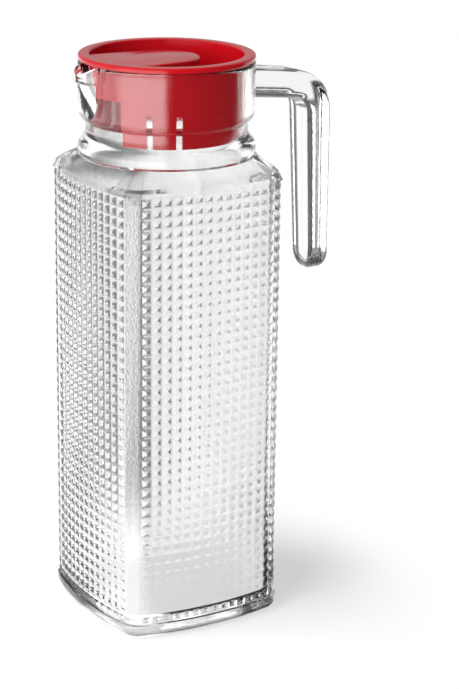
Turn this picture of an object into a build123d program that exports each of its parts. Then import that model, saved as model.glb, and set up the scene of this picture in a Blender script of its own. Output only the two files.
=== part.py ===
from build123d import *
import os
from math import atan2, cos, degrees, radians, sin, sqrt, tan

# Water pitcher: a pressed-glass jug, square with bowed sides, with a round neck, a
# pouring lip and an open handle, closed by a one-piece plastic lid that lifts out.
# Frame: +X points to the handle, -X to the pouring lip, +Z up. The origin lies
# on the neck axis, in the plane that the foot rests on. Millimetres.

# jug body; corner_stand is how much wider it is from corner to corner than across
body_width = 93.6
corner_stand = 18.6
side_bow_radius = 156.0
heel_round = 5.2
crease_height = 229.6
crease_radius = 42.9
straight_side_drop = 10.2
wall = 4.5
floor_thickness = 9.0
cavity_round = 4.0
cavity_shoulder_drop = 3.5
cavity_lap = 1.5

# shoulder of the jug, each row: drop below the crease, how far the side and the
# corner have drawn in, and the bow radius of the side
shoulder_rows = (
    (6.2, 0.5, 1.7, 125.0),
    (2.8, 1.85, 6.2, 85.0),
)

# jug neck and collar
bulge_radius = 42.4
bulge_rise = 6.5
bulge_round = 4.0
bulge_foot_drop = 2.0
neck_radius = 38.7
neck_slope = 3.2
neck_length = 6.0
collar_radius = 42.2
collar_foot_radius = 41.8
collar_step = 2.4
collar_length = 26.4
collar_round = 2.0
rim_round = 1.8
bore_top_radius = 38.3
bore_bottom_radius = 36.8

# pouring lip on the collar
lip_reach = 48.6
lip_top_reach = 47.0
lip_half_width = 10.5
lip_depth = 8.3
lip_top_round = 2.2
lip_under_round = 3.2
swell_top_reach = 46.4
swell_mid_reach = 45.5
swell_foot_reach = 42.6
swell_half_width = 9.0
channel_top_reach = 45.2
channel_mid_reach = 42.6
channel_half_width = 7.6
channel_depth = 23.0
mouth_dip = 3.4

# handle
handle_thickness = 13.5
handle_width = 23.0
handle_round = 4.2
handle_reach = 80.1
handle_top_drop = 13.9
handle_slope = 6.0
handle_bend = 14.0
grip_end_reach = 82.0
grip_end_thickness = 11.4
grip_end_width = 19.6
grip_end_height = 162.0

# lid
seat_gap = 0.3
plug_clearance = 0.3
flange_thickness = 2.7
flange_overhang = -0.2
flange_round = 1.0
lid_wall = 1.6
skirt_length = 36.6
recess_depth = 14.6
grip_drop = 1.6
grip_end_radius = 17.4
grip_end_offset = -2.0
grip_root_half_width = 21.0
grip_round = 0.9
notch_half_angle = 28.5
notch_roof = 1.2
slit_width = 2.8
slit_height = 16.6
slit_angles = (49.2, 70.2)

# sizes and heights that follow from those above
body_diagonal = body_width + corner_stand
straight_side_top = crease_height - straight_side_drop
bulge_top = crease_height + bulge_rise
neck_bottom = bulge_top + neck_slope
neck_top = neck_bottom + neck_length
collar_bottom = neck_top + collar_step
rim_height = collar_bottom + collar_length
flange_under = rim_height + seat_gap
lid_top = flange_under + flange_thickness
skirt_bottom = flange_under - skirt_length
recess_floor = lid_top - recess_depth
cap_under = recess_floor - lid_wall
cavity_top = skirt_bottom - plug_clearance


def bore_radius(z):
    """Radius of the tapered bore of the neck at height z."""
    share = (z - cavity_top) / (rim_height - cavity_top)
    return bore_bottom_radius + share * (bore_top_radius - bore_bottom_radius)


def bowed_square(height, side, corner, bow):
    """Plan with four bowed sides and round corners, a half width and a half diagonal."""
    middle = bow - side
    rounding = bow**2 - middle**2 - corner**2 - sqrt(2) * middle * corner
    rounding /= 2 * bow - 2 * corner - sqrt(2) * middle
    offset = (corner - rounding) / sqrt(2)
    turn = degrees(atan2(offset, middle + offset))
    with BuildSketch(Plane.XY.offset(height)) as plan:
        with BuildLine():
            for side_angle in (0, 90, 180, 270):
                x, y = cos(radians(side_angle)), sin(radians(side_angle))
                CenterArc((-middle * x, -middle * y), bow, side_angle - turn, 2 * turn)
                corner_centre = (offset * (x - y), offset * (x + y))
                CenterArc(corner_centre, rounding, side_angle + turn, 90 - 2 * turn)
        make_face()
    return plan.sketch


def body_plans(inset, drop, top_radius, top_height):
    """Plans of the body, or of the space in it, from the straight sides to the neck."""
    half_width = body_width / 2 - inset
    half_diagonal = body_diagonal / 2 - inset
    plans = [
        bowed_square(straight_side_top - drop, half_width, half_diagonal, side_bow_radius - inset)
    ]
    for row_drop, side_inset, corner_inset, bow in shoulder_rows:
        height = crease_height - row_drop - drop
        side, corner = half_width - side_inset, half_diagonal - corner_inset
        plans.append(bowed_square(height, side, corner, bow - inset))
    plans.append(bowed_square(top_height, top_radius, top_radius + 0.1, top_radius + 0.8))
    return plans


# hollow inside: square over the body, drawn in to the round, tapered bore
hollow_plans = body_plans(
    wall, cavity_shoulder_drop, bore_bottom_radius - cavity_lap, crease_height
)
hollow_foot = hollow_plans[0].center().Z
with BuildPart() as hollow:
    extrude(hollow_plans[0], amount=floor_thickness - hollow_foot)
    fillet(hollow.faces().sort_by(Axis.Z)[0].edges(), cavity_round)
    loft(hollow_plans, ruled=True)
    with BuildSketch(Plane.XZ):
        with BuildLine():
            Polyline(
                (0, hollow_foot),
                (bore_bottom_radius, hollow_foot),
                (bore_bottom_radius, cavity_top),
                (bore_top_radius, rim_height),
                (bore_top_radius, rim_height + wall),
                (0, rim_height + wall),
                close=True,
            )
        make_face()
    revolve(axis=Axis.Z)

# channel of the pouring lip, opening out of the bore towards -X
channel_foot = rim_height - channel_depth
with BuildPart() as channel:
    with BuildSketch(Plane.XY.offset(channel_foot)):
        with Locations((-bore_radius(channel_foot) / 2, 0)):
            SlotOverall(bore_radius(channel_foot), channel_half_width)
    with BuildSketch(Plane.XY.offset(rim_height - lip_depth)):
        with Locations((-channel_mid_reach / 2, 0)):
            SlotOverall(channel_mid_reach, 2 * channel_half_width - 2)
    with BuildSketch(Plane.XY.offset(rim_height + lip_top_round)):
        with Locations((-channel_top_reach / 2, 0)):
            SlotOverall(channel_top_reach, 2 * channel_half_width)
    loft()

# thick rounded pouring lip at the rim, dipped where the drink runs over it
dip_radius = (channel_half_width**2 + mouth_dip**2) / (2 * mouth_dip)
with BuildPart() as lip:
    with BuildSketch(Plane.XY.offset(rim_height - lip_depth)):
        with Locations((-lip_reach / 2, 0)):
            SlotOverall(lip_reach, 2 * lip_half_width)
    with BuildSketch(Plane.XY.offset(rim_height)):
        with Locations((-lip_top_reach / 2, 0)):
            SlotOverall(lip_top_reach, 2 * lip_half_width)
    loft()
    fillet(lip.faces().sort_by(Axis.Z)[0].edges(), lip_under_round)
    fillet(lip.faces().sort_by(Axis.Z)[-1].edges(), lip_top_round)

# handle: an arm out of the collar, a bend and a long grip with a free end
handle_start = rim_height - handle_top_drop
path_start = (bore_top_radius + collar_radius) / 2
bend_height = handle_start - (handle_reach - path_start) * tan(radians(handle_slope))
grip_top = bend_height - handle_bend
with BuildPart() as handle:
    with BuildLine() as handle_path:
        FilletPolyline(
            (path_start, 0, handle_start),
            (handle_reach, 0, bend_height),
            (handle_reach, 0, grip_top),
            radius=handle_bend,
        )
    with BuildSketch(Plane(handle_path.line @ 0, z_dir=handle_path.line % 0)):
        RectangleRounded(handle_thickness, handle_width, handle_round)
    sweep()
    # the grip grows slimmer towards its free end
    with BuildSketch(Plane.XY.offset(grip_top)):
        with Locations((handle_reach, 0)):
            RectangleRounded(handle_thickness, handle_width, handle_round)
    with BuildSketch(Plane.XY.offset(grip_end_height + grip_end_width / 2)):
        with Locations((grip_end_reach, 0)):
            RectangleRounded(grip_end_thickness, grip_end_width, handle_round)
    loft()
    # its end is turned half round across the width of the grip
    with BuildSketch(Plane.XY.offset(grip_end_height + grip_end_width / 2)):
        with Locations((grip_end_reach, 0)):
            RectangleRounded(grip_end_thickness, grip_end_width, handle_round)
        with Locations((grip_end_reach, -grip_end_width / 2)):
            Rectangle(2 * grip_end_thickness, grip_end_width, mode=Mode.SUBTRACT)
    revolve(
        axis=Axis((0, 0, grip_end_height + grip_end_width / 2), (1, 0, 0)),
        revolution_arc=-180,
    )

# the jug is one pressed piece: body, neck, collar, pouring lip and handle
swell_foot = collar_bottom + collar_round
swell_mid = collar_bottom + collar_length / 3
outer_plans = body_plans(0, 0, crease_radius, crease_height)
with BuildPart() as glass_jug:
    extrude(outer_plans[0], amount=-straight_side_top)
    fillet(glass_jug.faces().sort_by(Axis.Z)[0].edges(), heel_round)
    # the square shoulder draws in to the round crease under the neck
    loft(outer_plans)
    # bulge, neck and collar are turned about the neck axis
    with BuildSketch(Plane.XZ) as neck_profile:
        with BuildLine():
            Polyline(
                (0, crease_height - 2 * bulge_foot_drop),
                (crease_radius - bulge_foot_drop, crease_height - 2 * bulge_foot_drop),
                (bulge_radius, crease_height - bulge_foot_drop / 2),
                (bulge_radius, bulge_top),
                (neck_radius, neck_bottom),
                (neck_radius, neck_top),
                (collar_foot_radius, collar_bottom),
                (collar_radius, rim_height),
                (0, rim_height),
                close=True,
            )
        make_face()
        outer = neck_profile.vertices().filter_by_position(Axis.X, neck_radius - 0.5, 90)
        outer = outer.sort_by(Axis.Y)
        fillet(outer[2:4], bulge_round)
        fillet(outer[5:6], collar_round)
        fillet(outer[6:7], rim_round)
    revolve(axis=Axis.Z)
    # swell of the collar under the pouring lip
    with BuildSketch(Plane.XY.offset(swell_foot)):
        with Locations((-swell_foot_reach / 2, 0)):
            SlotOverall(swell_foot_reach, 2 * swell_half_width - 4)
    with BuildSketch(Plane.XY.offset(swell_mid)):
        with Locations((-swell_mid_reach / 2, 0)):
            SlotOverall(swell_mid_reach, 2 * swell_half_width - 1)
    with BuildSketch(Plane.XY.offset(rim_height - lip_depth / 2)):
        with Locations((-swell_top_reach / 2, 0)):
            SlotOverall(swell_top_reach, 2 * swell_half_width)
    loft()
    add(lip.part)
    add(handle.part)
    add(hollow.part, mode=Mode.SUBTRACT)
    add(channel.part, mode=Mode.SUBTRACT)
    with BuildSketch(Plane.YZ.offset(-bore_top_radius)):
        with Locations((0, rim_height - mouth_dip + dip_radius)):
            Circle(dip_radius)
    extrude(amount=-lip_reach, mode=Mode.SUBTRACT)
glass_jug.part.label = "glass_jug"

# finger grip of the lid: a hollow tongue that narrows towards the handle
skirt_top_radius = bore_radius(rim_height) - plug_clearance
skirt_bottom_radius = bore_radius(skirt_bottom) - plug_clearance
cap_radius = bore_radius(cap_under) - plug_clearance
floor_radius = bore_radius(recess_floor) - plug_clearance - lid_wall
grip_height = recess_depth - grip_drop
with BuildPart() as grip:
    with BuildSketch(Plane.XY.offset(recess_floor)):
        with BuildLine():
            CenterArc((grip_end_offset, 0), grip_end_radius, 0, 360)
            Line(
                (-skirt_top_radius, -grip_root_half_width),
                (-skirt_top_radius, grip_root_half_width),
            )
        make_hull()
    extrude(amount=grip_height)
    fillet(grip.faces().sort_by(Axis.Z)[-1].edges(), grip_round)
    with BuildSketch(Plane.XY.offset(recess_floor)):
        Circle(floor_radius + lid_wall / 2)
    extrude(amount=grip_height, mode=Mode.INTERSECT)

# space under the finger grip, one wall thinner all round
with BuildPart() as grip_hollow:
    with BuildSketch(Plane.XY.offset(cap_under)):
        with BuildLine():
            CenterArc((grip_end_offset, 0), grip_end_radius - lid_wall, 0, 360)
            Line(
                (-skirt_top_radius, lid_wall - grip_root_half_width),
                (-skirt_top_radius, grip_root_half_width - lid_wall),
            )
        make_hull()
    extrude(amount=grip_height)
    with BuildSketch(Plane.XY.offset(cap_under)):
        Circle(cap_radius - lid_wall)
    extrude(amount=grip_height, mode=Mode.INTERSECT)

# the lid is one moulded piece: rim flange, recessed cap, finger grip and skirt
slit_turns = [180 + side * angle for angle in slit_angles for side in (-1, 1)]
slit_circle = skirt_bottom_radius - lid_wall / 2
with BuildPart() as lid:
    with BuildSketch(Plane.XZ) as lid_profile:
        with BuildLine():
            Polyline(
                (0, recess_floor),
                (floor_radius, recess_floor),
                (skirt_top_radius - lid_wall, lid_top),
                (collar_radius + flange_overhang, lid_top),
                (collar_radius + flange_overhang, flange_under),
                (skirt_top_radius, flange_under),
                (skirt_bottom_radius, skirt_bottom),
                (skirt_bottom_radius - lid_wall, skirt_bottom),
                (cap_radius - lid_wall, cap_under),
                (0, cap_under),
                close=True,
            )
        make_face()
        top_corners = lid_profile.vertices().group_by(Axis.Y)[-1].sort_by(Axis.X)
        fillet(top_corners[-1], flange_round)
    revolve(axis=Axis.Z)
    add(grip.part)
    add(grip_hollow.part, mode=Mode.SUBTRACT)
    # wide notch that lets the drink into the pouring channel
    with BuildSketch(Plane.XY.offset(skirt_bottom)):
        with BuildLine():
            Polyline(
                (0, 0),
                (-collar_radius, collar_radius * tan(radians(notch_half_angle))),
                (-collar_radius, -collar_radius * tan(radians(notch_half_angle))),
                close=True,
            )
        make_face()
    extrude(amount=cap_under - notch_roof - skirt_bottom, mode=Mode.SUBTRACT)
    # narrow slits that make the skirt springy
    with BuildSketch(Plane.XY.offset(skirt_bottom)):
        for turn in slit_turns:
            with PolarLocations(slit_circle, 1, start_angle=turn):
                Rectangle(3 * lid_wall, slit_width)
    extrude(amount=slit_height, mode=Mode.SUBTRACT)
lid.part.label = "lid"

os.makedirs("parts", exist_ok=True)
export_step(glass_jug.part, "parts/glass_jug.step")
export_step(lid.part, "parts/lid.step")
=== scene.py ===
import math

import bmesh
import bpy
from mathutils import Matrix, Vector


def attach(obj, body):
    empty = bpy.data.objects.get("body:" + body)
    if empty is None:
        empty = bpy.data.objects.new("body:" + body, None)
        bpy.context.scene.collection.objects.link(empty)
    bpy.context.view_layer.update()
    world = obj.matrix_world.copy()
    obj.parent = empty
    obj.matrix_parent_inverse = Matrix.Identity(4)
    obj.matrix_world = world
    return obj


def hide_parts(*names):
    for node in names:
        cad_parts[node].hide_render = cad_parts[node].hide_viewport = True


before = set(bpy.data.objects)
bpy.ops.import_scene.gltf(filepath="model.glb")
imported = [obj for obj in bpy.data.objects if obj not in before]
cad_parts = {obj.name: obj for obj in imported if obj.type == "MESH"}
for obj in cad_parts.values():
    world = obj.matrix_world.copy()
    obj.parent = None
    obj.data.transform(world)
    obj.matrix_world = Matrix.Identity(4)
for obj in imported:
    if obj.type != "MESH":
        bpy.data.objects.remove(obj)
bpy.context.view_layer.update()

# A pressed-glass water jug with a waffle of small pyramids on its four bowed sides,
# and its red plastic lid. +X points to the handle, -X to the pouring lip, +Z up.
# Sizes are written in millimetres, and MM makes metres of them. A round is given as
# its size and how many faces go round it.
MM = 0.001

# jug body
body_half_width = 46.76
body_half_diagonal = 56.1
side_bow_radius = 156.0
wall = 4.5
floor_thickness = 9.0
heel_round = (5.2, 7)
cavity_round = (4.0, 6)
cavity_drop = 3.5
shoulder_foot = 219.4
shoulder_step = 0.4
crease_height = 229.6
crease_radius = 42.9
# height, half width and half diagonal of the shoulder between its foot and the crease
shoulder_rows = ((223.4, 46.3, 54.4), (226.8, 44.95, 49.9))

# waffle of pyramids, and the plain strips at the four upright corners
waffle_foot = 7.6
waffle_rows = 42
waffle_columns = 14
pyramid_height = 0.97
valley_width = 0.6
valley_rise = 0.12
heel_step = 0.25
corner_strip = 9.1
corner_strip_steps = 6
corner_ridge = 0.5
# x and y differ in size by less than the first on a strip, by more than the second
# in the waffle
strip_reach = 6.0
waffle_reach = 7.0
# the part of a row, from 0 to 1, where the strip swells
swell_from = 0.3
swell_to = 0.7

# neck and collar
neck_root_depth = 4.0
neck_root_inset = 2.0
bulge_radius = 42.4
bulge_foot_depth = 1.0
bulge_top = 236.1
neck_radius = 38.7
neck_bottom = 239.3
neck_top = 245.3
collar_radius = 42.2
collar_taper = 0.4
collar_bottom = 247.7
rim_height = 274.1
bore_bottom_radius = 36.8
bore_top_radius = 38.3
bore_foot = 237.5
# corners of the turned outline, each with its round
neck_rounds = ((7, 1.8, 6), (6, 2.2, 6), (4, 2.6, 6), (3, 2.8, 7))

# pouring lip, the swell of the collar under it, and its channel
lip_reach = 48.45
lip_top_reach = 46.9
lip_root_reach = 5.0
lip_half_width = 10.5
lip_sides = 64
lip_depth = 8.3
lip_top_round = (2.2, 5)
lip_under_round = (3.2, 6)
swell_foot = collar_bottom + 2
swell_middle = collar_bottom + 8.8
swell_top = rim_height - lip_depth / 2
swell_foot_reach = 42.6
swell_reach = 45.5
swell_top_reach = 46.4
swell_half_width = 8.5
swell_top_half_width = 9.0
channel_foot_reach = 37.4
channel_mid_reach = 42.6
channel_top_reach = 45.2
channel_half_width = 7.6
channel_narrowing = 1.0
channel_foot = 251.1
channel_over_rim = 2.2
mouth_dip = 3.4
mouth_sides = 96

# handle
handle_thickness = 13.5
handle_width = 23.0
handle_round = (4.2, 6)
handle_reach = 80.1
handle_start = 260.2
handle_slope = 6.0
handle_bend = 14.0
handle_bend_steps = 14
first_slab = 1.0
grip_end_reach = 82.0
grip_end_thickness = 11.4
grip_end_width = 19.6
grip_end_height = 162.0
grip_end_steps = 24

# lid
flange_radius = 42.0
flange_under = 274.4
lid_top = 277.1
lid_wall = 1.6
skirt_foot = 237.8
skirt_foot_radius = 36.5
skirt_top_radius = 38.0
recess_floor = 262.5
cap_under = 260.9
lid_rounds = ((7, 0.4, 3), (6, 0.4, 3), (4, 0.6, 4), (3, 1.1, 6), (2, 0.9, 5), (1, 1.5, 5))
grip_top = 275.5
grip_edge_round = (0.9, 4)
grip_sides = 96
grip_end_radius = 17.4
grip_end_offset = -2.0
grip_root_half_width = 21.0
root_length = 4.0
notch_half_angle = 28.5
notch_top = 259.7
slit_width = 2.8
slit_height = 16.6
slit_depth = 5.0
slit_angles = (49.2, 70.2)

# making: faces round a turned piece, how near is the same point or height, how far
# is off a middle, how far a cutting block stands out, the angle up to which faces
# are one flat, and the angle above which an edge stays sharp
turned_steps = 128
merge_gap = 0.01
hair = 0.1
off_middle = 1.0
overlap = 1.0
flat_angle = 0.5
sharp_angle = 24

# both finishes: detail of the waves and the grain, the middle part of the noise that
# is used, and the share of grain in the relief
wave_detail = 2
grain_detail = 4
noise_span = (0.3, 0.7)
grain_in_height = 0.25

# glass: the shader's plain colour and roughness, then for its nodes the wave and
# grain size, two tints, roughness range, and bump distance and strength
glass_plain = ((0.98, 0.99, 0.99), 0.0)
glass_sizes = (55, 900)
glass_tints = ((0.972, 0.98, 0.98), (0.99, 0.995, 0.995))
glass_roughness = (0.0, 0.03)
glass_bump = (0.0004, 0.35)
glass_ior = 1.5
strip_grain_share = 0.8
strip_grain_edge = 0.6
strip_grain_end = 1.0
# how much shadow and bounced light pass, and how clear the far glass is
glass_shade = 0.8
glass_fill_shade = 0.94
far_glass_clearness = 0.8

# red plastic, in the same order as the glass
red_plain = ((0.42, 0.008, 0.014), 0.25)
red_sizes = (35, 1800)
red_tints = ((0.38, 0.003, 0.007), (0.49, 0.006, 0.012))
red_roughness = (0.07, 0.13)
red_bump = (0.0002, 0.2)
red_ior = 1.5

# light with more passes than this comes through the far glass, and light with more
# bounces has been reflected
near_glass_passes = 1.5
no_bounce = 0.5

# studio: boards are (azimuth, reach to either side) in degrees, and levels are
# (height of the direction, brightness), from the horizon up to overhead
fill_level = 0.46
dark_boards = ((169, 10), (103, 14))
# level of the dark boards, also painted on the floor as dark patches where glass sees it
dimmed_through = 0.1
# a dark side of the studio, also painted on the floor as a dark side that gloss sees
dark_side = (30.4, 59)
dark_side_level = 0.04
# painted glow that gloss sees on the floor, and a painted soft box glowing brighter on one side
# of it
painted_floor_glow_level = 1.3
painted_softbox_side = (-62, 33)
painted_softbox_glow = 2.8
board_soft_edge = 6
through_levels = ((0, 1.0), (0.03, 1.0), (0.09, 0.15), (0.55, 0.15), (0.7, 1.0), (1, 0.6))
reflected_levels = ((0, 0.45), (0.5, 0.45), (0.6, 0.5), (1, 0.5))

# floor: its side in metres, its gap under the jug, its colour and roughness, and then,
# in metres from its middle, where it pales, where the painted dark of the boards begins
# to show on it through glass, and where it meets the upper part of the studio and turns
# painted dark through glass
floor_size = 60
floor_cuts = 3
floor_gap = 0.1
floor_plain = ((0.93, 0.93, 0.93), 0.8)
floor_fade = (0.07, 0.145)
board_fade = (0.04, 0.2)
floor_horizon = (1.5, 4.5)
# share of painted white glow on it near the jug where glass sees it, which lightens the shadow
# there
painted_glow_through_glass = 0.6

# name, place, point aimed at, side length and power of each soft light
soft_lights = (
    ("key_light", (-0.67, 0.11, 1.45), (0, 0, 0.1), 0.8, 13),
    ("side_light", (-0.75, -0.35, 0.5), (0, 0, 0.26), 0.5, 6),
)

# the photograph's viewpoint: how far off and how high, which way, and how it leans
camera_distance = 1.0274
camera_height = 0.46275
camera_azimuth = -28.73
camera_pitch = 17.78
camera_yaw = 1.732
camera_roll = 0.712
camera_lens = 115.16
camera_sensor = 36
camera_far = 200


def deselect_all():
    """Leaves object mode with nothing selected."""
    if bpy.context.object and bpy.context.object.mode != "OBJECT":
        bpy.ops.object.mode_set(mode="OBJECT")
    bpy.ops.object.select_all(action="DESELECT")


def open_piece(name):
    """Names the primitive that was just added and opens it in edit mode."""
    piece = bpy.context.active_object
    piece.name = name
    piece.data.name = name
    bpy.ops.object.mode_set(mode="EDIT")
    return piece


def close_piece(piece):
    """Merges doubles, turns the faces outwards and goes back to object mode."""
    bpy.ops.mesh.select_mode(type="VERT")
    bpy.ops.mesh.select_all(action="SELECT")
    bpy.ops.mesh.remove_doubles(threshold=merge_gap * MM)
    bpy.ops.mesh.normals_make_consistent(inside=False)
    bpy.ops.object.mode_set(mode="OBJECT")
    bpy.ops.object.transform_apply(location=True, rotation=True, scale=True)
    return piece


def pick(piece, kind, test):
    """Selects the vertices, edges or faces whose middle, in millimetres, passes a test."""
    bpy.ops.mesh.select_mode(type=kind)
    bpy.ops.mesh.select_all(action="DESELECT")
    mesh = bmesh.from_edit_mesh(piece.data)
    for item in {"VERT": mesh.verts, "EDGE": mesh.edges, "FACE": mesh.faces}[kind]:
        corners = [item.co] if kind == "VERT" else [v.co for v in item.verts]
        middle = piece.matrix_world @ (sum(corners, Vector()) / len(corners)) / MM
        if test(middle):
            item.select_set(True)
    mesh.select_flush_mode()
    bmesh.update_edit_mesh(piece.data)


def move(*step):
    """Moves what is selected by a step in millimetres."""
    bpy.ops.transform.translate(value=[s * MM for s in step])


def extrude(*step):
    """Extrudes what is selected by a step in millimetres."""
    shift = {"value": [s * MM for s in step]}
    bpy.ops.mesh.extrude_region_move(TRANSFORM_OT_translate=shift)


def scale(x, y, z, centre):
    """Scales what is selected about a centre in millimetres."""
    bpy.ops.transform.resize(value=(x, y, z), center_override=[c * MM for c in centre])


def grow_ring(height, share):
    """Scales the selected ring in plan about the jug's axis."""
    scale(share, share, 1, (0, 0, height))


def round_edges(size, faces):
    """Rounds the selected edges to a size in millimetres, with so many faces."""
    bpy.ops.mesh.bevel(offset=size * MM, segments=faces, affect="EDGES")


def start_point(name, place):
    """A new piece of one vertex, open in edit mode, to be drawn on from there."""
    deselect_all()
    bpy.ops.mesh.primitive_plane_add(size=MM, location=[p * MM for p in place])
    piece = open_piece(name)
    bpy.ops.object.mode_set(mode="OBJECT")
    bpy.ops.object.transform_apply(location=True, rotation=True, scale=True)
    bpy.ops.object.mode_set(mode="EDIT")
    bpy.ops.mesh.select_all(action="SELECT")
    bpy.ops.mesh.merge(type="CENTER")
    return piece


def start_cylinder(name, sides, radius, foot, top, x=0, turn=0):
    """A new upright cylinder between two heights, open in edit mode."""
    deselect_all()
    bpy.ops.mesh.primitive_cylinder_add(
        vertices=sides, radius=radius * MM, depth=(top - foot) * MM,
        location=(x * MM, 0, (foot + top) / 2 * MM), rotation=(0, 0, turn),
    )
    return open_piece(name)


def draw_on(place, points):
    """Extrudes the selected vertex or line from place through each of the points."""
    for point in points:
        extrude(*(b - a for a, b in zip(place, point)))
        place = point


def draw_round(plan):
    """Extrudes the selected vertex or line round a plan and merges its two ends."""
    draw_on(plan[0], plan[1:] + plan[:1])
    bpy.ops.mesh.select_all(action="SELECT")
    bpy.ops.mesh.remove_doubles(threshold=merge_gap * MM)


def draw_in(piece, start, rows):
    """Carries the selected ring up through rows of height, half width and half diagonal."""
    height, width, diagonal = start
    for next_height, next_width, next_diagonal in rows:
        extrude(0, 0, next_height - height)
        spread = diagonal / width - 1
        roundness = 1 - (next_diagonal / next_width - 1) / spread if spread else 0
        bpy.ops.transform.tosphere(value=min(1, roundness))
        mesh = bmesh.from_edit_mesh(piece.data)
        reach = min(v.co.xy.length for v in mesh.verts if v.select) / MM
        grow_ring(next_height, next_width / reach)
        height, width, diagonal = next_height, next_width, next_diagonal


def near(place, reach=hair / 2):
    """A test for middles within reach of a place."""
    return lambda m: (m - Vector(place)).length < reach


def turned(name, outline, rounds):
    """An outline of (radius, height) points, with some corners rounded, turned about Z."""
    points = [(radius, 0, height) for radius, height in outline]
    piece = start_point(name, points[0])
    draw_on(points[0], points[1:])
    for corner, offset, segments in rounds:
        pick(piece, "VERT", near(points[corner]))
        bpy.ops.mesh.bevel(
            affect="VERTICES", offset=offset * MM, offset_type="OFFSET", segments=segments
        )
    bpy.ops.mesh.select_all(action="SELECT")
    bpy.ops.mesh.spin(
        steps=turned_steps, angle=2 * math.pi, center=(0, 0, 0), axis=(0, 0, 1)
    )
    return close_piece(piece)


def make_active(piece):
    """Selects one piece alone and makes it the active one."""
    deselect_all()
    piece.select_set(True)
    bpy.context.view_layer.objects.active = piece


def apply_boolean(piece, other, operation):
    """Joins, cuts or keeps the overlap of a piece with another, which is used up."""
    make_active(piece)
    cut = piece.modifiers.new("Boolean", "BOOLEAN")
    cut.object = other
    cut.operation = operation
    cut.solver = "EXACT"
    bpy.ops.object.modifier_apply(modifier=cut.name)
    bpy.data.objects.remove(other, do_unlink=True)


def finish_piece(piece, name):
    """Names a finished piece and smooths it, apart from its sharp edges."""
    piece.name = name
    piece.data.name = name
    make_active(piece)
    bpy.ops.object.shade_smooth_by_angle(angle=math.radians(sharp_angle))
    return piece


def plan_point(share, half_width, half_diagonal, bow=side_bow_radius):
    """Point of the bowed square at a share of its way round, from the middle of +X."""
    middle = bow - half_width
    rounding = bow**2 - middle**2 - half_diagonal**2
    rounding -= math.sqrt(2) * middle * half_diagonal
    rounding /= 2 * bow - 2 * half_diagonal - math.sqrt(2) * middle
    offset = (half_diagonal - rounding) / math.sqrt(2)
    turn = math.atan2(offset, middle + offset)
    side_arc = bow * turn
    half_side = side_arc + rounding * (math.pi / 4 - turn)
    side = round(share * 4)
    along = (share * 4 - side) * 2 * half_side
    if abs(along) <= side_arc:
        angle = along / bow
        point = Vector((bow * math.cos(angle) - middle, bow * math.sin(angle)))
    else:
        angle = turn + (abs(along) - side_arc) / rounding
        point = Vector((math.cos(angle), math.sin(angle))) * rounding
        point += Vector((offset, offset))
        point.y *= math.copysign(1, along)
    return Matrix.Rotation(side * math.pi / 2, 2) @ point


def plan_shares(half_width):
    """Shares of the way round at the edges of the waffle columns and corner strips."""
    strip = corner_strip / (8 * half_width)
    column = (0.25 - strip) / waffle_columns
    shares = []
    for side in range(4):
        first = side / 4 - waffle_columns * column / 2
        shares += [first + column * step for step in range(waffle_columns)]
        last = first + column * waffle_columns
        shares += [last + strip * step / corner_strip_steps for step in range(corner_strip_steps)]
    return shares


def body_plan(half_width, half_diagonal, height):
    """The corners of the body's plan at a height, one for each share of the way round."""
    plan = [plan_point(s, half_width, half_diagonal) for s in plan_shares(half_width)]
    return [(p.x, p.y, height) for p in plan]


def on_corner_strip(middle, reach):
    """True for a middle near one of the four upright corner lines of the body."""
    return abs(abs(middle.x) - abs(middle.y)) < reach


def glass_body():
    """The outside of the body: waffle, plain heel and the shoulder up to the crease."""
    groove = body_half_width - pyramid_height
    ridge = body_half_diagonal - corner_ridge
    plan = body_plan(groove, ridge, waffle_foot)
    body = start_point("glass_body", plan[0])
    pitch = (shoulder_foot - waffle_foot) / waffle_rows
    for row in range(waffle_rows):
        extrude(0, 0, pitch)
    bpy.ops.mesh.select_all(action="SELECT")
    draw_round(plan)
    bpy.ops.mesh.normals_make_consistent(inside=False)

    # each waffle cell rises to the point of a pyramid
    pick(body, "FACE", lambda m: not on_corner_strip(m, waffle_reach))
    bpy.ops.mesh.inset(
        thickness=valley_width * MM, depth=valley_rise * MM, use_individual=True
    )
    bpy.ops.mesh.poke(offset=(pyramid_height - valley_rise) * MM)

    def up_a_strip(middle, low, high):
        """True on a corner strip, between two shares of a row's height."""
        share = (middle.z - waffle_foot) % pitch / pitch
        return on_corner_strip(middle, strip_reach) and low < share < high

    # the corner strips swell a little between the rows
    pick(body, "EDGE", lambda m: up_a_strip(m, swell_from, 1))
    bpy.ops.mesh.subdivide(number_cuts=1)
    pick(body, "VERT", lambda m: up_a_strip(m, swell_from, swell_to))
    grow_ring(0, 1 + corner_ridge / body_half_diagonal)

    # plain heel below the waffle, with a round bottom edge
    step_out = body_half_width / groove
    pick(body, "EDGE", lambda m: m.z < waffle_foot + hair)
    extrude(0, 0, -heel_step)
    grow_ring(waffle_foot - heel_step, step_out)
    extrude(0, 0, heel_step - waffle_foot)
    bpy.ops.mesh.edge_face_add()
    pick(body, "EDGE", lambda m: m.z < hair)
    round_edges(*heel_round)

    # plain shoulder above it, drawn in from the square to the round crease
    pick(body, "EDGE", lambda m: m.z > shoulder_foot - hair)
    extrude(0, 0, shoulder_step)
    grow_ring(shoulder_foot + shoulder_step, step_out)
    start = (shoulder_foot + shoulder_step, body_half_width, body_half_diagonal)
    draw_in(body, start, (*shoulder_rows, (crease_height, crease_radius, crease_radius)))
    bpy.ops.mesh.edge_face_add()
    return close_piece(body)


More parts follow.
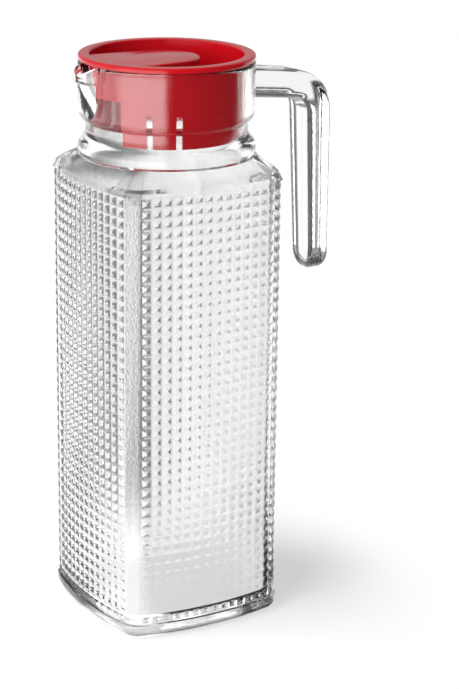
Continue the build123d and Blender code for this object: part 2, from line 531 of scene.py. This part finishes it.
def glass_hollow():
    """The space inside the jug: square in the body, round and tapered in the neck."""
    half_width = body_half_width - wall
    half_diagonal = body_half_diagonal - wall
    side_top = shoulder_foot - cavity_drop
    plan = body_plan(half_width, half_diagonal, floor_thickness)
    hollow = start_point("glass_hollow", plan[0])
    draw_round(plan)
    extrude(0, 0, side_top - floor_thickness)
    rows = [(h - cavity_drop, w - wall, d - wall) for h, w, d in shoulder_rows]
    rows.append((crease_height, bore_bottom_radius, bore_bottom_radius))
    draw_in(hollow, (side_top, half_width, half_diagonal), rows)
    extrude(0, 0, bore_foot - crease_height)
    extrude(0, 0, rim_height - bore_foot)
    grow_ring(rim_height, bore_top_radius / bore_bottom_radius)
    extrude(0, 0, wall)
    bpy.ops.mesh.edge_face_add()
    pick(hollow, "EDGE", lambda m: m.z < floor_thickness + hair)
    bpy.ops.mesh.edge_face_add()
    pick(hollow, "EDGE", lambda m: m.z < floor_thickness + hair)
    round_edges(*cavity_round)
    return close_piece(hollow)


def glass_neck():
    """Bulge, neck and collar, turned about the jug's axis."""
    outline = (
        (0, crease_height - neck_root_depth),
        (crease_radius - neck_root_inset, crease_height - neck_root_depth),
        (bulge_radius, crease_height - bulge_foot_depth),
        (bulge_radius, bulge_top),
        (neck_radius, neck_bottom),
        (neck_radius, neck_top),
        (collar_radius - collar_taper, collar_bottom),
        (collar_radius, rim_height),
        (0, rim_height),
    )
    return turned("glass_neck", outline, neck_rounds)


def tongue(name, reach, half_width, foot, top, foot_reach):
    """An upright block from the axis to -X with a half round end."""
    block = start_cylinder(name, lip_sides, half_width, foot, top, half_width - reach)
    pick(block, "VERT", lambda m: m.x > half_width - reach + hair)
    scale(0, 1, 1, (0, 0, 0))
    pick(block, "VERT", lambda m: m.z < (foot + top) / 2)
    scale(foot_reach / reach, 1, 1, (0, 0, 0))
    return block


def glass_lip():
    """The thick rounded pouring lip."""
    foot = rim_height - lip_depth
    lip = tongue("glass_lip", lip_top_reach, lip_half_width, foot, rim_height, lip_reach)
    pick(lip, "EDGE", lambda m: m.x < -lip_root_reach and m.z > rim_height - hair)
    round_edges(*lip_top_round)
    pick(lip, "EDGE", lambda m: m.x < -lip_root_reach and m.z < foot + hair)
    round_edges(*lip_under_round)
    return close_piece(lip)


def glass_swell():
    """The swell of the collar under the pouring lip."""
    swell = tongue("glass_swell", swell_reach, swell_half_width, swell_foot, swell_middle,
                   swell_foot_reach)
    pick(swell, "FACE", lambda m: m.z > swell_middle - hair)
    extrude(0, 0, swell_top - swell_middle)
    wider = swell_top_half_width / swell_half_width
    scale(swell_top_reach / swell_reach, wider, 1, (0, 0, swell_top))
    return close_piece(swell)


def pouring_channel():
    """The channel that runs up to the lip, open to the bore and over the rim."""
    middle = rim_height - lip_depth
    half_width = channel_half_width - channel_narrowing
    channel = tongue("pouring_channel", channel_mid_reach, half_width, channel_foot, middle,
                     channel_foot_reach)
    pick(channel, "FACE", lambda m: m.z > middle - hair)
    extrude(0, 0, rim_height + channel_over_rim - middle)
    wider = channel_half_width / half_width
    scale(channel_top_reach / channel_mid_reach, wider, 1, (0, 0, 0))
    return close_piece(channel)


def mouth_cutter():
    """A round bar laid over the rim that dips the mouth of the lip."""
    radius = (channel_half_width**2 + mouth_dip**2) / (2 * mouth_dip)
    middle_x = -bore_top_radius - lip_reach / 2
    middle_z = rim_height - mouth_dip + radius
    deselect_all()
    bpy.ops.mesh.primitive_cylinder_add(
        vertices=mouth_sides, radius=radius * MM, depth=lip_reach * MM,
        location=(middle_x * MM, 0, middle_z * MM), rotation=(0, math.pi / 2, 0),
    )
    return close_piece(open_piece("mouth_cutter"))


def glass_handle():
    """Arm out of the collar, bend and long grip, which slims to a half round end."""
    slope = math.radians(handle_slope)
    start_x = (bore_top_radius + collar_radius) / 2
    start = (start_x * MM, 0, handle_start * MM)
    corner_z = handle_start - (handle_reach - start_x) * math.tan(slope)
    bend_angle = math.pi / 2 - slope
    bend_run = handle_bend * math.tan(bend_angle / 2)
    deselect_all()
    bpy.ops.mesh.primitive_cube_add(size=1, location=start)
    handle = open_piece("glass_handle")
    slab = (first_slab * MM, handle_width * MM, handle_thickness * MM)
    bpy.ops.transform.resize(value=slab)
    pick(handle, "EDGE", lambda m: min(abs(m.y), abs(m.z - handle_start)) > off_middle)
    round_edges(*handle_round)
    bpy.ops.mesh.select_all(action="SELECT")
    bpy.ops.transform.rotate(value=-slope, orient_axis="Y", center_override=start)

    # the far face is carried along the arm, round the bend and down the grip
    ahead = Vector((math.cos(slope), 0, -math.sin(slope)))
    middle = Vector((start_x, 0, handle_start))
    pick(handle, "FACE", lambda m: (m - middle).dot(ahead) > first_slab / 2 - hair)
    arm = (handle_reach - start_x) / math.cos(slope) - bend_run - first_slab / 2
    extrude(arm * math.cos(slope), 0, -arm * math.sin(slope))
    grip_start = corner_z - bend_run
    centre = ((handle_reach - handle_bend) * MM, 0, grip_start * MM)
    bpy.ops.mesh.spin(
        steps=handle_bend_steps, angle=bend_angle, center=centre, axis=(0, -1, 0)
    )
    straight_end = grip_end_height + grip_end_width / 2
    extrude(grip_end_reach - handle_reach, 0, straight_end - grip_start)
    slim_x = grip_end_thickness / handle_thickness
    slim_y = grip_end_width / handle_width
    scale(slim_x, slim_y, 1, (grip_end_reach, 0, straight_end))

    # one half of the end, halved at its middle, is turned half round to the other
    bpy.ops.mesh.delete(type="ONLY_FACE")
    pick(handle, "EDGE", lambda m: abs(m.y) < off_middle and abs(m.z - straight_end) < hair)
    bpy.ops.mesh.subdivide(number_cuts=1)
    pick(handle, "EDGE", lambda m: m.y > off_middle / 2 and abs(m.z - straight_end) < hair)
    bpy.ops.mesh.spin(
        steps=grip_end_steps, angle=math.pi, axis=(1, 0, 0),
        center=(grip_end_reach * MM, 0, straight_end * MM),
    )
    return close_piece(handle)


def glass_jug():
    """The whole jug as one pressed piece."""
    top = glass_neck()
    for addition in (glass_lip(), glass_swell(), glass_handle()):
        apply_boolean(top, addition, "UNION")
    for cutter in (pouring_channel(), mouth_cutter()):
        apply_boolean(top, cutter, "DIFFERENCE")
    jug = glass_body()
    apply_boolean(jug, top, "UNION")
    apply_boolean(jug, glass_hollow(), "DIFFERENCE")
    return finish_piece(jug, "pressed_glass_jug")


def skirt_radius(height):
    """Outer radius of the lid's tapered skirt at a height."""
    share = (height - skirt_foot) / (flange_under - skirt_foot)
    return skirt_foot_radius + share * (skirt_top_radius - skirt_foot_radius)


def lid_shell():
    """Rim flange, recess and skirt, turned about the jug's axis."""
    outline = (
        (0, recess_floor),
        (skirt_radius(recess_floor) - lid_wall, recess_floor),
        (skirt_top_radius - lid_wall, lid_top),
        (flange_radius, lid_top),
        (flange_radius, flange_under),
        (skirt_top_radius, flange_under),
        (skirt_foot_radius, skirt_foot),
        (skirt_foot_radius - lid_wall, skirt_foot),
        (skirt_radius(cap_under) - lid_wall, cap_under),
        (0, cap_under),
    )
    return turned("lid_shell", outline, lid_rounds)


def lid_tongue(name, inset, foot, top):
    """A tongue from the -X side of the recess that narrows to a round end."""
    radius = grip_end_radius - inset
    block = start_cylinder(name, grip_sides, radius, foot, top, grip_end_offset)
    root_x = -skirt_top_radius - root_length / 2
    root_middle = (root_x * MM, 0, (foot + top) / 2 * MM)
    root = (root_length * MM, 2 * (grip_root_half_width - inset) * MM, (top - foot) * MM)
    # the root starts as a cube a metre wide, so only its corners lie far out
    far_out = 400
    bpy.ops.mesh.primitive_cube_add(size=1, location=root_middle)
    pick(block, "VERT", lambda m: abs(m.x - root_x) > far_out)
    bpy.ops.transform.resize(value=root, center_override=root_middle)
    bpy.ops.mesh.select_all(action="SELECT")
    bpy.ops.mesh.convex_hull()
    bpy.ops.mesh.dissolve_limited(angle_limit=math.radians(flat_angle))
    return block


def trim_round(block, radius, foot, top):
    """Keeps the part of a block within a radius of the jug's axis."""
    disc = close_piece(start_cylinder("trim", turned_steps, radius, foot, top))
    apply_boolean(block, disc, "INTERSECT")


def lid_notch():
    """The wedge cut out of the skirt towards the pouring lip."""
    foot = skirt_foot - 2 * overlap
    wedge = start_cylinder("lid_notch", 3, 1, foot, notch_top, turn=math.pi / 6)
    # one corner of the triangle goes to the axis, the other two out to the collar
    back = 0.5
    half_side = 0.866
    spread = collar_radius * math.tan(math.radians(notch_half_angle))
    pick(wedge, "VERT", lambda m: m.x > back + hair)
    move(-1, 0, 0)
    pick(wedge, "VERT", lambda m: m.x < -hair)
    scale(collar_radius / back, spread / half_side, 1, (0, 0, 0))
    return close_piece(wedge)


def lid_slit(turn):
    """The block that cuts one narrow slit at an angle, in degrees, about the axis."""
    angle = math.radians(turn)
    radius = skirt_foot_radius - lid_wall / 2
    middle_z = skirt_foot + slit_height / 2 - overlap
    deselect_all()
    bpy.ops.mesh.primitive_cube_add(
        size=1,
        location=(radius * math.cos(angle) * MM, radius * math.sin(angle) * MM, middle_z * MM),
        rotation=(0, 0, angle),
        scale=(slit_depth * MM, slit_width * MM, (slit_height + 2 * overlap) * MM),
    )
    return close_piece(open_piece("lid_slit"))


def lid():
    """The one-piece lid: flange, recess, finger grip, skirt, notch and slits."""
    sunk = recess_floor - lid_wall / 2
    grip = lid_tongue("lid_grip", 0, sunk, grip_top)
    pick(grip, "EDGE", lambda m: m.z > grip_top - hair)
    round_edges(*grip_edge_round)
    close_piece(grip)
    trim_round(grip, skirt_radius(recess_floor) - lid_wall / 2, sunk - overlap, lid_top)
    space = lid_tongue("grip_space", lid_wall, cap_under - overlap, grip_top - lid_wall)
    close_piece(space)
    space_radius = skirt_radius(cap_under) - lid_wall - hair
    trim_round(space, space_radius, cap_under - 2 * overlap, lid_top)
    shell = lid_shell()
    apply_boolean(shell, grip, "UNION")
    apply_boolean(shell, space, "DIFFERENCE")
    apply_boolean(shell, lid_notch(), "DIFFERENCE")
    for angle in slit_angles:
        for side in (-1, 1):
            apply_boolean(shell, lid_slit(180 + side * angle), "DIFFERENCE")
    return finish_piece(shell, "moulded_lid")


def link(tree, source, target):
    """Joins two sockets of a node tree."""
    tree.links.new(source, target)


def feed(tree, value, socket):
    """Gives a socket a plain number, or joins it to another socket."""
    if isinstance(value, (int, float)):
        socket.default_value = value
    else:
        link(tree, value, socket)


def worked(tree, operation, *values):
    """A number worked out from numbers or sockets."""
    node = tree.nodes.new("ShaderNodeMath")
    node.operation = operation
    for value, socket in zip(values, node.inputs):
        feed(tree, value, socket)
    return node.outputs["Value"]


def vector_worked(tree, operation, vector, other=None):
    """The outputs of a vector worked on alone or with another vector."""
    node = tree.nodes.new("ShaderNodeVectorMath")
    node.operation = operation
    link(tree, vector, node.inputs[0])
    if other:
        node.inputs[1].default_value = other
    return node.outputs


def mixed(tree, factor, first, second):
    """A number between two numbers or sockets."""
    mix = tree.nodes.new("ShaderNodeMix")
    mix.data_type = "FLOAT"
    feed(tree, factor, mix.inputs["Factor"])
    feed(tree, first, mix.inputs["A"])
    feed(tree, second, mix.inputs["B"])
    return mix.outputs["Result"]


def ranged(tree, value, start, end):
    """0 below the start of a range, 1 above its end, and a soft slope between."""
    span = tree.nodes.new("ShaderNodeMapRange")
    span.interpolation_type = "SMOOTHSTEP"
    span.inputs["From Min"].default_value = start
    span.inputs["From Max"].default_value = end
    link(tree, value, span.inputs["Value"])
    return span.outputs["Result"]


def shader_mixed(tree, factor, first, second):
    """A shader between two shaders."""
    mix = tree.nodes.new("ShaderNodeMixShader")
    link(tree, factor, mix.inputs["Fac"])
    link(tree, first, mix.inputs[1])
    link(tree, second, mix.inputs[2])
    return mix.outputs["Shader"]


def glow(tree, level):
    """A white emission of a brightness."""
    emission = tree.nodes.new("ShaderNodeEmission")
    feed(tree, level, emission.inputs["Strength"])
    return emission.outputs["Emission"]


def has_reflected(tree, path):
    """1 for a ray that has been reflected on its way, 0 for one that only passed through."""
    return worked(tree, "GREATER_THAN", path["Glossy Depth"], no_bounce)


def new_material(name, base, roughness):
    """A material with one Principled shader, and that shader."""
    material = bpy.data.materials.new(name)
    material.use_nodes = True
    shader = material.node_tree.nodes["Principled BSDF"]
    shader.inputs["Base Color"].default_value = (*base, 1)
    shader.inputs["Roughness"].default_value = roughness
    return material, shader


def surface_group():
    """Slow waves and fine grain over a surface, shared by the glass and the plastic."""
    group = bpy.data.node_groups.new("surface_waves", "ShaderNodeTree")
    for name in ("Wave size", "Grain size"):
        group.interface.new_socket(name, in_out="INPUT", socket_type="NodeSocketFloat")
    for name in ("Waves", "Grain", "Height"):
        group.interface.new_socket(name, in_out="OUTPUT", socket_type="NodeSocketFloat")
    inputs = group.nodes.new("NodeGroupInput")
    outputs = group.nodes.new("NodeGroupOutput")
    place = group.nodes.new("ShaderNodeTexCoord")
    noises = []
    for size, detail, result in (
        ("Wave size", wave_detail, "Waves"),
        ("Grain size", grain_detail, "Grain"),
    ):
        noise = group.nodes.new("ShaderNodeTexNoise")
        noise.inputs["Detail"].default_value = detail
        link(group, place.outputs["Object"], noise.inputs["Vector"])
        link(group, inputs.outputs[size], noise.inputs["Scale"])
        link(group, noise.outputs["Fac"], outputs.inputs[result])
        noises.append(noise.outputs["Fac"])
    link(group, mixed(group, grain_in_height, *noises), outputs.inputs["Height"])
    return group


def place_group(tree, group, wave_size, grain_size):
    """Places the shared group with a material's own values and gives its outputs."""
    node = tree.nodes.new("ShaderNodeGroup")
    node.node_tree = group
    node.inputs["Wave size"].default_value = wave_size
    node.inputs["Grain size"].default_value = grain_size
    return node.outputs


def spread_over(tree, source, target, low, high):
    """Feeds the middle part of a noise to a socket as a range from low to high."""
    span = tree.nodes.new("ShaderNodeMapRange")
    span.inputs["From Min"].default_value = noise_span[0]
    span.inputs["From Max"].default_value = noise_span[1]
    span.inputs["To Min"].default_value = low
    span.inputs["To Max"].default_value = high
    link(tree, source, span.inputs["Value"])
    link(tree, span.outputs["Result"], target)


def add_bump(tree, shader, height, distance, strength):
    """A bump from a height value into the shader's normal."""
    bump = tree.nodes.new("ShaderNodeBump")
    bump.inputs["Strength"].default_value = strength
    bump.inputs["Distance"].default_value = distance
    link(tree, height, bump.inputs["Height"])
    link(tree, bump.outputs["Normal"], shader.inputs["Normal"])


def tint_between(tree, source, shader, dark, light):
    """A base colour that drifts between two tints."""
    mix = tree.nodes.new("ShaderNodeMix")
    mix.data_type = "RGBA"
    colours = [s for s in mix.inputs if s.type == "RGBA"]
    colours[0].default_value = (*dark, 1)
    colours[1].default_value = (*light, 1)
    link(tree, source, mix.inputs["Factor"])
    result = next(s for s in mix.outputs if s.type == "RGBA")
    link(tree, result, shader.inputs["Base Color"])


def strip_grain(tree, height, grain):
    """A height that has the grain added to it on the four upright corner strips."""
    place = tree.nodes.new("ShaderNodeTexCoord")
    split = tree.nodes.new("ShaderNodeSeparateXYZ")
    link(tree, place.outputs["Object"], split.inputs["Vector"])
    size_x = worked(tree, "ABSOLUTE", split.outputs["X"])
    size_y = worked(tree, "ABSOLUTE", split.outputs["Y"])
    apart = worked(tree, "ABSOLUTE", worked(tree, "SUBTRACT", size_x, size_y))
    strip = corner_strip * math.sqrt(2) / 2 * MM
    off_strip = ranged(tree, apart, strip - strip_grain_edge * MM, strip)
    fade = (shoulder_foot - strip_grain_end) * MM
    above = ranged(tree, split.outputs["Z"], fade, shoulder_foot * MM)
    off_strip = mixed(tree, above, off_strip, 1.0)
    grained = worked(tree, "MULTIPLY_ADD", grain, strip_grain_share, height)
    return mixed(tree, off_strip, grained, height)


def let_light_through(tree, shader):
    """Clear glass lets most of the light on to what stands behind it."""
    path = tree.nodes.new("ShaderNodeLightPath").outputs
    clear = tree.nodes.new("ShaderNodeBsdfTransparent")
    # the far side of the jug stays faint behind the near side
    beyond = worked(tree, "GREATER_THAN", path["Transmission Depth"], near_glass_passes)
    shaded = mixed(tree, beyond, 0.0, far_glass_clearness)
    shaded = mixed(tree, path["Is Diffuse Ray"], shaded, 1.0)
    shaded = mixed(tree, path["Is Shadow Ray"], shaded, 1.0)
    tint = mixed(tree, path["Is Diffuse Ray"], 1.0, glass_fill_shade)
    tint = mixed(tree, path["Is Shadow Ray"], tint, glass_shade)
    link(tree, tint, clear.inputs["Color"])
    surface = shader_mixed(tree, shaded, shader.outputs["BSDF"], clear.outputs["BSDF"])
    link(tree, surface, tree.nodes["Material Output"].inputs["Surface"])


def pressed_glass(group):
    """Clear pressed glass, faintly wavy where the mould left it."""
    material, shader = new_material("pressed_glass", *glass_plain)
    tree = material.node_tree
    shader.inputs["Transmission Weight"].default_value = 1
    shader.inputs["IOR"].default_value = glass_ior
    surface = place_group(tree, group, *glass_sizes)
    tint_between(tree, surface["Waves"], shader, *glass_tints)
    spread_over(tree, surface["Grain"], shader.inputs["Roughness"], *glass_roughness)
    grained = strip_grain(tree, surface["Height"], surface["Grain"])
    add_bump(tree, shader, grained, *glass_bump)
    let_light_through(tree, shader)
    return material


def red_plastic(group):
    """Glossy red moulded plastic."""
    material, shader = new_material("red_plastic", *red_plain)
    tree = material.node_tree
    shader.inputs["IOR"].default_value = red_ior
    surface = place_group(tree, group, *red_sizes)
    tint_between(tree, surface["Waves"], shader, *red_tints)
    spread_over(tree, surface["Grain"], shader.inputs["Roughness"], *red_roughness)
    add_bump(tree, shader, surface["Height"], *red_bump)
    return material


def give_material(piece, material):
    """One material over the whole of a piece."""
    piece.data.materials.clear()
    piece.data.materials.append(material)


def on_side(tree, direction, azimuth, reach):
    """How far a direction or place lies within reach of an azimuth, from 0 to 1."""
    angle = math.radians(azimuth)
    towards = (math.sin(angle), -math.cos(angle), 0)
    flat = vector_worked(tree, "MULTIPLY", direction, (1, 1, 0))["Vector"]
    unit = vector_worked(tree, "NORMALIZE", flat)["Vector"]
    facing = vector_worked(tree, "DOT_PRODUCT", unit, towards)["Value"]
    start = math.cos(math.radians(reach + board_soft_edge))
    end = math.cos(math.radians(reach - board_soft_edge))
    return ranged(tree, facing, start, end)


def on_boards(tree, direction):
    """How far a direction or place lies on one of the dark boards of the studio."""
    total = 0.0
    for board in dark_boards:
        total = mixed(tree, on_side(tree, direction, *board), total, 1.0)
    return total


def level_ramp(tree, height, levels):
    """The brightness at a height, between the levels of a list."""
    ramp = tree.nodes.new("ShaderNodeValToRGB")
    stops = ramp.color_ramp.elements
    for stop, (place, level) in ((stops[0], levels[0]), (stops[1], levels[-1])):
        stop.color = (level, level, level, 1)
    for place, level in levels[1:-1]:
        stops.new(place).color = (level, level, level, 1)
    link(tree, height, ramp.inputs["Fac"])
    return ramp.outputs["Color"]


def pale_floor():
    """A wide pale floor, which the eye, glass and gloss see at different levels: painted glows
    and painted dark patches that only glass and gloss see.
    """
    deselect_all()
    bpy.ops.mesh.primitive_plane_add(size=floor_size, location=(0, 0, -floor_gap * MM))
    floor = open_piece("pale_floor")
    bpy.ops.mesh.subdivide(number_cuts=floor_cuts)
    close_piece(floor)
    material, shader = new_material("pale_floor", *floor_plain)
    shader.inputs["Specular IOR Level"].default_value = 0.0
    tree = material.node_tree
    path = tree.nodes.new("ShaderNodeLightPath").outputs
    place = tree.nodes.new("ShaderNodeTexCoord").outputs["Object"]
    away = vector_worked(tree, "LENGTH", place)["Value"]
    # the floor pales to the white of the backdrop further off; where glass sees it near the jug,
    # a share of painted white glow lightens the shadow there
    pale = mixed(tree, path["Is Transmission Ray"], 0.0, painted_glow_through_glass)
    pale = mixed(tree, ranged(tree, away, *floor_fade), pale, 1.0)
    surface = shader_mixed(tree, pale, shader.outputs["BSDF"], glow(tree, 1.0))
    # painted shade: seen through glass, the floor glows only dimly where the dark boards stand
    # and towards the horizon, as painted dark patches
    dim = mixed(tree, ranged(tree, away, *board_fade), 0.0, on_boards(tree, place))
    dim = mixed(tree, ranged(tree, away, *floor_horizon), dim, 1.0)
    dim = mixed(tree, path["Is Transmission Ray"], 0.0, dim)
    surface = shader_mixed(tree, dim, surface, glow(tree, dimmed_through))
    # painted reflections: gloss sees the floor as a bright glow, with a painted soft box glowing
    # on one side and a painted dark side on the other
    level = mixed(tree, on_side(tree, place, *painted_softbox_side), painted_floor_glow_level, painted_softbox_glow)
    level = mixed(tree, on_side(tree, place, *dark_side), level, dark_side_level)
    surface = shader_mixed(tree, has_reflected(tree, path), surface, glow(tree, level))
    link(tree, surface, tree.nodes["Material Output"].inputs["Surface"])
    give_material(floor, material)


def studio_world():
    """White to the eye; glass and gloss also meet the studio's darker parts."""
    world = bpy.data.worlds.new("studio")
    bpy.context.scene.world = world
    world.use_nodes = True
    tree = world.node_tree
    tree.nodes.clear()
    path = tree.nodes.new("ShaderNodeLightPath").outputs
    direction = tree.nodes.new("ShaderNodeTexCoord").outputs["Generated"]
    split = tree.nodes.new("ShaderNodeSeparateXYZ")
    link(tree, direction, split.inputs["Vector"])
    # light that only passed through glass: white low down, dark above and on the boards
    through = level_ramp(tree, split.outputs["Z"], through_levels)
    through = mixed(tree, on_boards(tree, direction), through, dimmed_through)
    # light that has been reflected: an even grey, and dark on one side
    reflected = level_ramp(tree, split.outputs["Z"], reflected_levels)
    reflected = mixed(tree, on_side(tree, direction, *dark_side), reflected, dark_side_level)
    sharp = mixed(tree, has_reflected(tree, path), through, reflected)
    # what glass, gloss and the camera don't see is an even fill
    seen = worked(tree, "MAXIMUM", path["Is Glossy Ray"], path["Is Transmission Ray"])
    level = mixed(tree, seen, fill_level, sharp)
    level = mixed(tree, path["Is Camera Ray"], level, 1.0)
    sky = tree.nodes.new("ShaderNodeBackground")
    sky.inputs["Color"].default_value = (1, 1, 1, 1)
    link(tree, level, sky.inputs["Strength"])
    out = tree.nodes.new("ShaderNodeOutputWorld")
    link(tree, sky.outputs["Background"], out.inputs["Surface"])


def soft_light(name, place, aim, size, power):
    """A square soft light at a place, in metres, turned to aim at a point."""
    light = bpy.data.lights.new(name, "AREA")
    light.size = size
    light.energy = power
    lamp = bpy.data.objects.new(name, light)
    bpy.context.collection.objects.link(lamp)
    lamp.location = place
    lamp.visible_glossy = False
    lamp.visible_transmission = False
    lamp.rotation_euler = (Vector(aim) - Vector(place)).to_track_quat("-Z", "Y").to_euler()


def photo_camera():
    """The camera at the photograph's viewpoint."""
    azimuth = math.radians(camera_azimuth)
    level = Vector((-math.sin(azimuth), math.cos(azimuth), 0))
    place = Vector((0, 0, camera_height)) - camera_distance * level
    turn = Matrix.Rotation(azimuth - math.radians(camera_yaw), 3, "Z")
    tilt = Matrix.Rotation(math.pi / 2 - math.radians(camera_pitch), 3, "X")
    lean = Matrix.Rotation(math.radians(camera_roll), 3, "Z")
    camera = bpy.data.objects.new("photo_camera", bpy.data.cameras.new("photo_camera"))
    bpy.context.collection.objects.link(camera)
    camera.matrix_world = Matrix.Translation(place) @ (turn @ tilt @ lean).to_4x4()
    camera.data.lens = camera_lens
    camera.data.sensor_width = camera_sensor
    camera.data.clip_end = camera_far
    bpy.context.scene.camera = camera


def build():
    """The jug and the lid, dressed and set on their bodies."""
    waves = surface_group()
    jug = glass_jug()
    give_material(jug, pressed_glass(waves))
    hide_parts("glass_jug")
    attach(jug, "jug")
    cap = lid()
    give_material(cap, red_plastic(waves))
    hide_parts("lid")
    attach(cap, "lid")
    deselect_all()


build()
pale_floor()
studio_world()
for light in soft_lights:
    soft_light(*light)
photo_camera()
bpy.context.scene.view_settings.view_transform = "Standard"
